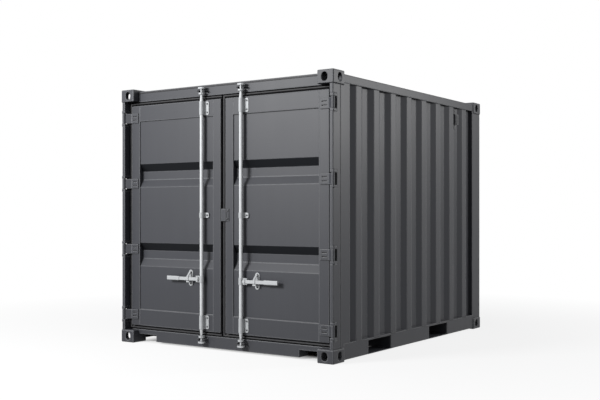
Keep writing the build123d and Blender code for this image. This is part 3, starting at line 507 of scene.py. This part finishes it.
FINISHES = {
    "paint": surface("anthracite_paint", anthracite_paint),
    "galvanised": surface("fitting_zinc", fitting_zinc),
    "rubber": surface("seal_rubber", seal_rubber),
    "plywood": surface("floor_plywood", floor_plywood),
    "vent_plastic": surface("vent_moulding", vent_moulding),
}
BAR_LIT_FINISH = surface("bar_zinc_lit_copy", bar_zinc_lit_copy)


def dress_solids():
    """Each solid takes the finish of its slot in the record, and the lock bars a lighter copy of the
    zinc, as painted light.
    """
    for row in frame["record"]["subparts"]:
        materials = frame["nodes"][row["node"]].data.materials
        materials.clear()
        is_bar = row["node"].endswith("_lock_bar")
        materials.append(BAR_LIT_FINISH if is_bar else FINISHES[row["material_slot"]])


def quads(stations, around, closed):
    """Corner numbers of the faces between neighbouring rings, each ring a closed loop of points."""
    ring, spot = np.meshgrid(
        np.arange(stations if closed else stations - 1), np.arange(around), indexing="ij"
    )
    next_ring = (ring + 1) % stations
    next_spot = (spot + 1) % around
    corners = (
        ring * around + spot,
        ring * around + next_spot,
        next_ring * around + next_spot,
        next_ring * around + spot,
    )
    return np.stack(corners, -1).reshape(-1, 4)


def make(name, rings, body, slot, closed=False):
    """A piece from rings of points, as copies x stations x points round x 3; open ends are capped."""
    copies, stations, around, _ = rings.shape
    start = (np.arange(copies) * stations * around)[:, None]
    faces = (quads(stations, around, closed)[None] + start[:, :, None]).reshape(-1, 4).tolist()
    if not closed:
        loop = np.arange(around)
        faces += (start + loop[::-1]).tolist()
        faces += (start + (stations - 1) * around + loop).tolist()
    mesh = bpy.data.meshes.new(name)
    mesh.from_pydata(rings.reshape(-1, 3).tolist(), [], faces)
    shape = bmesh.new()
    shape.from_mesh(mesh)
    bmesh.ops.recalc_face_normals(shape, faces=shape.faces)
    shape.to_mesh(mesh)
    shape.free()
    mesh.polygons.foreach_set("use_smooth", np.ones(len(mesh.polygons), bool))
    mesh.set_sharp_from_angle(angle=SHARP_ANGLE)
    mesh.materials.append(FINISHES[slot])
    made = bpy.data.objects.new(name, mesh)
    bpy.context.scene.collection.objects.link(made)
    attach(made, body)
    return made


def stand(profile, outline, places, out, up):
    """Copies of a turned or prismatic form: each (radius, height) of the profile scales the outline.

    A point is place + height * out + radius * (outline x across + outline y up).
    """
    out = np.asarray(out, float)
    up = np.asarray(up, float)
    across = np.cross(up, out)
    flat = outline[:, :1] * across + outline[:, 1:] * up
    rings = profile[:, 1, None, None] * out + profile[:, 0, None, None] * flat[None]
    return np.asarray(places, float)[:, None, None, :] + rings[None]


def circle(count):
    """Points of a unit circle, at even angles."""
    turn = np.linspace(0.0, 2.0 * math.pi, count, endpoint=False)
    return np.stack([np.cos(turn), np.sin(turn)], -1)


# Heads of fasteners: outlines, and profiles as (radius, height above the plate)
HEX = circle(6)
RIVET_ROUND = circle(16)
SCREW_ROUND = circle(12)
BOLT_RADIUS = 0.0080
BOLT_PROFILE = np.array([(1.0, -0.001), (1.0, 0.0045), (0.86, 0.0058)]) * (BOLT_RADIUS, 1.0)
RIVET_PROFILE = np.array([(0.009, -0.001), (0.009, 0.001), (0.0072, 0.0042), (0.003, 0.0058)])
SCREW_PROFILE = np.array([(0.0065, -0.002), (0.0065, 0.0004), (0.0035, 0.0004), (0.0025, -0.0012)])


def front_heads(name, profile, outline, places, body):
    """Painted heads on the doors that point to the front."""
    make(name, stand(profile, outline, places, FRONT, UP), body, "paint")


def door_fasteners():
    """Bolts through the bar brackets, rivets on the handle catches, bolts on the cover plate."""
    for word, _ in SIDES:
        low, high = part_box(f"{word}_bar_brackets")
        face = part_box(f"{word}_door_frame")[0].y - BRACKET_PLATE
        levels = (
            low.z + BRACKET_BOLT_UP,
            low.z + BRACKET_TALL - BRACKET_BOLT_UP,
            (low.z + high.z) / 2,
            high.z - BRACKET_TALL + BRACKET_BOLT_UP,
            high.z - BRACKET_BOLT_UP,
        )
        places = [(high.x - BRACKET_BOLT_IN, face, z) for z in levels]
        front_heads(f"{word}_bracket_bolts", BOLT_PROFILE, HEX, places, f"{word}_door")
        low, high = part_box(f"{word}_handle_catch")
        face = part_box(f"{word}_door_panel")[0].y - CATCH_PLATE
        levels = (low.z + CATCH_RIVET_IN, high.z - CATCH_RIVET_IN)
        places = [((low.x + high.x) / 2, face, z) for z in levels]
        front_heads(f"{word}_catch_rivets", RIVET_PROFILE, RIVET_ROUND, places, f"{word}_door")
    low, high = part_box("centre_cover_plate")
    levels = (low.z + COVER_BOLT_UP, high.z - COVER_BOLT_UP)
    places = [(high.x - COVER_BOLT_IN, low.y + COVER_STEP, z) for z in levels]
    front_heads("cover_plate_bolts", BOLT_PROFILE, HEX, places, "right_door")


def rounded_loop(low, high, radius):
    """Points round a rectangle in XZ: at each corner, a quarter of a circle with the given radius."""
    turn = np.linspace(0.0, math.pi / 2, CORNER_POINTS)
    left, right = low.x + radius, high.x - radius
    bottom, top = low.z + radius, high.z - radius
    corners = []
    for k, (x, z) in enumerate(((right, top), (left, top), (left, bottom), (right, bottom))):
        angle = turn + k * math.pi / 2
        corners.append(np.stack([x + radius * np.cos(angle), z + radius * np.sin(angle)], -1))
    return np.concatenate(corners)


def seal_section():
    """A roll on a foot, as shares of the way out and of the depth.

    The roll is a circle about (ROLL_OUT, ROLL_RADIUS), drawn from its rear by the leaf, over the
    front and back to the outer side; the foot then closes the section at the full depth.
    """
    turn = np.radians(np.linspace(ROLL_START, ROLL_END, ROLL_POINTS))
    out = ROLL_OUT + ROLL_RADIUS * np.cos(turn)
    deep = ROLL_RADIUS * (1.0 - np.sin(turn))
    foot = np.array([(FOOT_OUT, FOOT_DEEP), (FOOT_OUT, 1.0), (0.0, 1.0), (0.0, FOOT_DEEP)])
    return np.concatenate([np.stack([out, deep], -1), foot])


def door_seals():
    """A rubber roll carried round each leaf, from the leaf's edge out to the seal's edge.

    A point is the leaf's edge plus a share of the way outwards, and a share of the depth.
    """
    for word, _ in SIDES:
        seal_low, seal_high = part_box(f"{word}_door_seal")
        inner = rounded_loop(*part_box(f"{word}_door_frame"), SEAL_CORNER_IN)
        outer = rounded_loop(seal_low, seal_high, SEAL_CORNER_OUT)
        out, deep = seal_section().T
        flat = inner[:, None] + out[None, :, None] * (outer - inner)[:, None]
        depth = np.broadcast_to(seal_low.y + deep * (seal_high.y - seal_low.y), flat.shape[:2])
        rings = np.stack([flat[..., 0], depth, flat[..., 1]], -1)[None]
        seal = make(f"{word}_lipped_seal", rings, f"{word}_door", "rubber", closed=True)
        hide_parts(f"{word}_door_seal")


def node_points(name):
    """The corners of one solid's mesh."""
    vertices = frame["nodes"][name].data.vertices
    points = np.empty(len(vertices) * 3, np.float32)
    vertices.foreach_get("co", points)
    return points.reshape(-1, 3).astype(float)


def spaced(path, step):
    """Points at even steps along a polyline, and how far along it each one is."""
    lengths = np.concatenate([[0.0], np.cumsum(np.linalg.norm(np.diff(path, axis=0), axis=1))])
    marks = np.linspace(0.0, lengths[-1], max(2, int(lengths[-1] / step) + 1))
    return np.stack([np.interp(marks, lengths, path[:, k]) for k in range(3)], -1), marks


def bead(name, path, out, body, slot="paint", thick=WELD_RADIUS):
    """A bead along a path: a circle in the plane of out and up whose radius ripples along the way."""
    points, marks = spaced(np.asarray(path, float), WELD_STEP)
    radius = thick * (1.0 + WELD_SWELL * np.cos(2.0 * math.pi * marks / WELD_RIPPLE))
    loop = circle(WELD_POINTS)
    offsets = loop[:, :1] * np.asarray(out, float) + loop[:, 1:] * np.asarray(UP, float)
    rings = points[:, None] + radius[:, None, None] * offsets[None]
    make(name, rings[None], body, slot)


def wall_line(name, axis, out):
    """The outside line of a corrugated wall in XY, in order along one axis.

    Corners of the faces that look outwards are kept, at the height of the wall's foot, one for each
    tenth of a millimetre along the wall.
    """
    mesh = frame["nodes"][name].data
    corners = np.empty(len(mesh.polygons) * 3, np.int32)
    normals = np.empty(len(mesh.polygons) * 3, np.float32)
    mesh.polygons.foreach_get("vertices", corners)
    mesh.polygons.foreach_get("normal", normals)
    outward = normals.reshape(-1, 3)[:, 1 - axis] * out > OUTWARD_LEAST
    points = node_points(name)[np.unique(corners.reshape(-1, 3)[outward])]
    foot = points[points[:, 2] < points[:, 2].min() + SAME_LEVEL]
    places, first = np.unique(np.round(foot[:, axis], 4), return_index=True)
    line = foot[first, :2]
    line[:, axis] = places
    return line


def wall_welds():
    """Seams along the foot and the head of the wall sheets, where they meet the rails."""
    walls = [(word, f"{word}_side_panel", 1, (side, 0, 0)) for word, side in SIDES]
    walls.append(("rear", "rear_end_panel", 0, REAR))
    for word, panel, axis, out in walls:
        line = wall_line(panel, axis, out[1 - axis])
        low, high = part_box(panel)
        for label, z in (("foot", low.z), ("head", high.z)):
            path = np.column_stack([line, np.full(len(line), z)])
            bead(f"{word}_wall_{label}_weld", path, out, "container")


def panel_welds():
    """Seams where the door sheets meet the leaf's lower and upper rails."""
    for word, _ in SIDES:
        low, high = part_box(f"{word}_door_panel")
        for label, z in (("foot", low.z), ("head", high.z)):
            path = [(low.x, low.y, z), (high.x, low.y, z)]
            bead(f"{word}_sheet_{label}_weld", path, FRONT, f"{word}_door")


def roof_shade_bead():
    """A dark bead under the roof sheet's edge on the header's face, from casting to casting: a painted
    shade along the gap there.
    """
    low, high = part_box("door_header")
    y = low.y + SHADE_BEAD_IN
    z = high.z - SHADE_BEAD_DOWN
    path = [(low.x, y, z), (high.x, y, z)]
    bead("roof_edge_shade_bead", path, REAR, "container", "rubber", SHADE_BEAD_RADIUS)


def vent_blades():
    """Slanted blades on the face of each vent box.

    A thin section is carried along Y, at even levels up the face, with its root a little inside.
    """
    corners = node_points("side_vents")
    for word, side in SIDES:
        points = corners[corners[:, 0] * side > 0]
        face = side * np.abs(points[:, 0]).max()
        front = points[np.abs(points[:, 0] - face) < SAME_LEVEL]
        y0, z0 = front[:, 1].min(), front[:, 2].min()
        y1, z1 = front[:, 1].max(), front[:, 2].max()
        rise = (z1 - z0 - 2 * VENT_INSET) / VENT_BLADES
        levels = z0 + VENT_INSET + rise * (np.arange(VENT_BLADES) + 0.5)
        ends = np.array([y0 + VENT_INSET, y1 - VENT_INSET])
        shape = (len(levels), len(ends), len(BLADE_SECTION))
        x = np.broadcast_to(face + side * BLADE_SECTION[:, 0] - side * BLADE_SINK, shape)
        y = np.broadcast_to(ends[None, :, None], shape)
        z = levels[:, None, None] + np.broadcast_to(BLADE_SECTION[:, 1], shape)
        make(f"{word}_vent_blades", np.stack([x, y, z], -1), "container", "vent_plastic")


def floor_screws():
    """Countersunk screw heads in rows over the cross members.

    A row runs halfway between the two edges of a member's top, and each half of the floor has
    screws at even steps from its outer edge to the seam.
    """
    tops = node_points("cross_members")
    tops = tops[tops[:, 2] > tops[:, 2].max() - SAME_LEVEL]
    lines = np.unique(np.round(tops[:, 1], 3))
    rows = (lines[0::2] + lines[1::2]) / 2
    low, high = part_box("floor_boards")
    left = np.linspace(low.x + SCREW_EDGE, -SCREW_SEAM, SCREW_COUNT)
    right = np.linspace(SCREW_SEAM, high.x - SCREW_EDGE, SCREW_COUNT)
    x, y = np.meshgrid(np.concatenate([left, right]), rows)
    places = np.stack([x, y, np.full_like(x, high.z)], -1).reshape(-1, 3)
    make("floor_screws", stand(SCREW_PROFILE, SCREW_ROUND, places, UP, REAR), "container", "galvanised")


def floor_finish():
    """Pale ground: white to the eye, with a share of real light and shade close to the box.

    Under the box it is all real light and shade, over a soft border.
    """
    material, nodes = blank_material("pale_ground")
    x = nodes.axis("X")
    y = nodes.axis("Y")
    reach = ((x * x + y * y) ** 0.5 - FLOOR_NEAR) / (FLOOR_FAR - FLOOR_NEAR)
    near = 1.0 - reach.share()
    inside_x = (CAD_BOX[1].x - x.size()) / FLOOR_UNDER
    inside_y = (CAD_BOX[1].y - y.size()) / FLOOR_UNDER
    under = inside_x.at_most(inside_y).share()
    glow = nodes.add("ShaderNodeEmission", {}, {"Color": WHITE, "Strength": 1.0})
    lit = nodes.add("ShaderNodeBsdfDiffuse", {}, {"Color": WHITE})
    shown = nodes.mix((near * FLOOR_LIT_SHARE).at_least(under), glow, lit)
    real = nodes.add("ShaderNodeBsdfDiffuse", {}, {"Color": FLOOR_GREY})
    nodes.finish("ShaderNodeOutputMaterial", nodes.mix(nodes.either(*SEEN_RAYS), real, shown))
    return material


def lay_ground():
    """A wide flat square under the container."""
    mesh = bpy.data.meshes.new("ground")
    corners = np.array([(-1, -1, 0), (1, -1, 0), (1, 1, 0), (-1, 1, 0)]) * FLOOR_HALF
    mesh.from_pydata(corners.tolist(), [], [(0, 1, 2, 3)])
    mesh.materials.append(floor_finish())
    ground = bpy.data.objects.new("ground", mesh)
    bpy.context.scene.collection.objects.link(ground)


def light_surround():
    """A world that is white to the eye and in reflections, and lights the container dimly."""
    world = bpy.data.worlds.new("surround")
    world.use_nodes = True
    bpy.context.scene.world = world
    nodes = Nodes(world.node_tree)
    dim = nodes.add("ShaderNodeBackground", {}, {"Color": AMBIENT, "Strength": 1.0})
    white = nodes.add("ShaderNodeBackground", {}, {"Color": WHITE, "Strength": 1.0})
    nodes.finish("ShaderNodeOutputWorld", nodes.mix(nodes.either(*SEEN_RAYS), dim, white))


def hang_lamps():
    """Soft rectangular lamps, each turned from its place towards its aim."""
    for name, (place, aim, wide, tall, power, spread) in LAMPS.items():
        data = bpy.data.lights.new(name, "AREA")
        data.shape = "RECTANGLE"
        data.size = wide
        data.size_y = tall
        data.energy = power
        data.spread = math.radians(spread)
        lamp = bpy.data.objects.new(name, data)
        x, y, z = np.subtract(aim, place)
        lamp.location = place
        lamp.rotation_euler = (math.atan2(math.hypot(x, y), -z), 0.0, math.atan2(-x, y))
        bpy.context.scene.collection.objects.link(lamp)


def place_camera():
    """A level camera, with the horizon moved in the frame instead of a tilt."""
    data = bpy.data.cameras.new("camera")
    data.sensor_width = SENSOR
    data.lens = SENSOR * LENS / FRAME_WIDE
    data.shift_y = HORIZON_DROP / FRAME_WIDE
    camera = bpy.data.objects.new("camera", data)
    camera.location = CAMERA_PLACE
    camera.rotation_euler = (math.pi / 2, 0.0, CAMERA_TURN)
    scene = bpy.context.scene
    scene.collection.objects.link(camera)
    scene.camera = camera
    scene.view_settings.view_transform = "Standard"


dress_solids()
door_fasteners()
door_seals()
wall_welds()
panel_welds()
roof_shade_bead()
vent_blades()
floor_screws()
lay_ground()
light_surround()
hang_lamps()
place_camera()
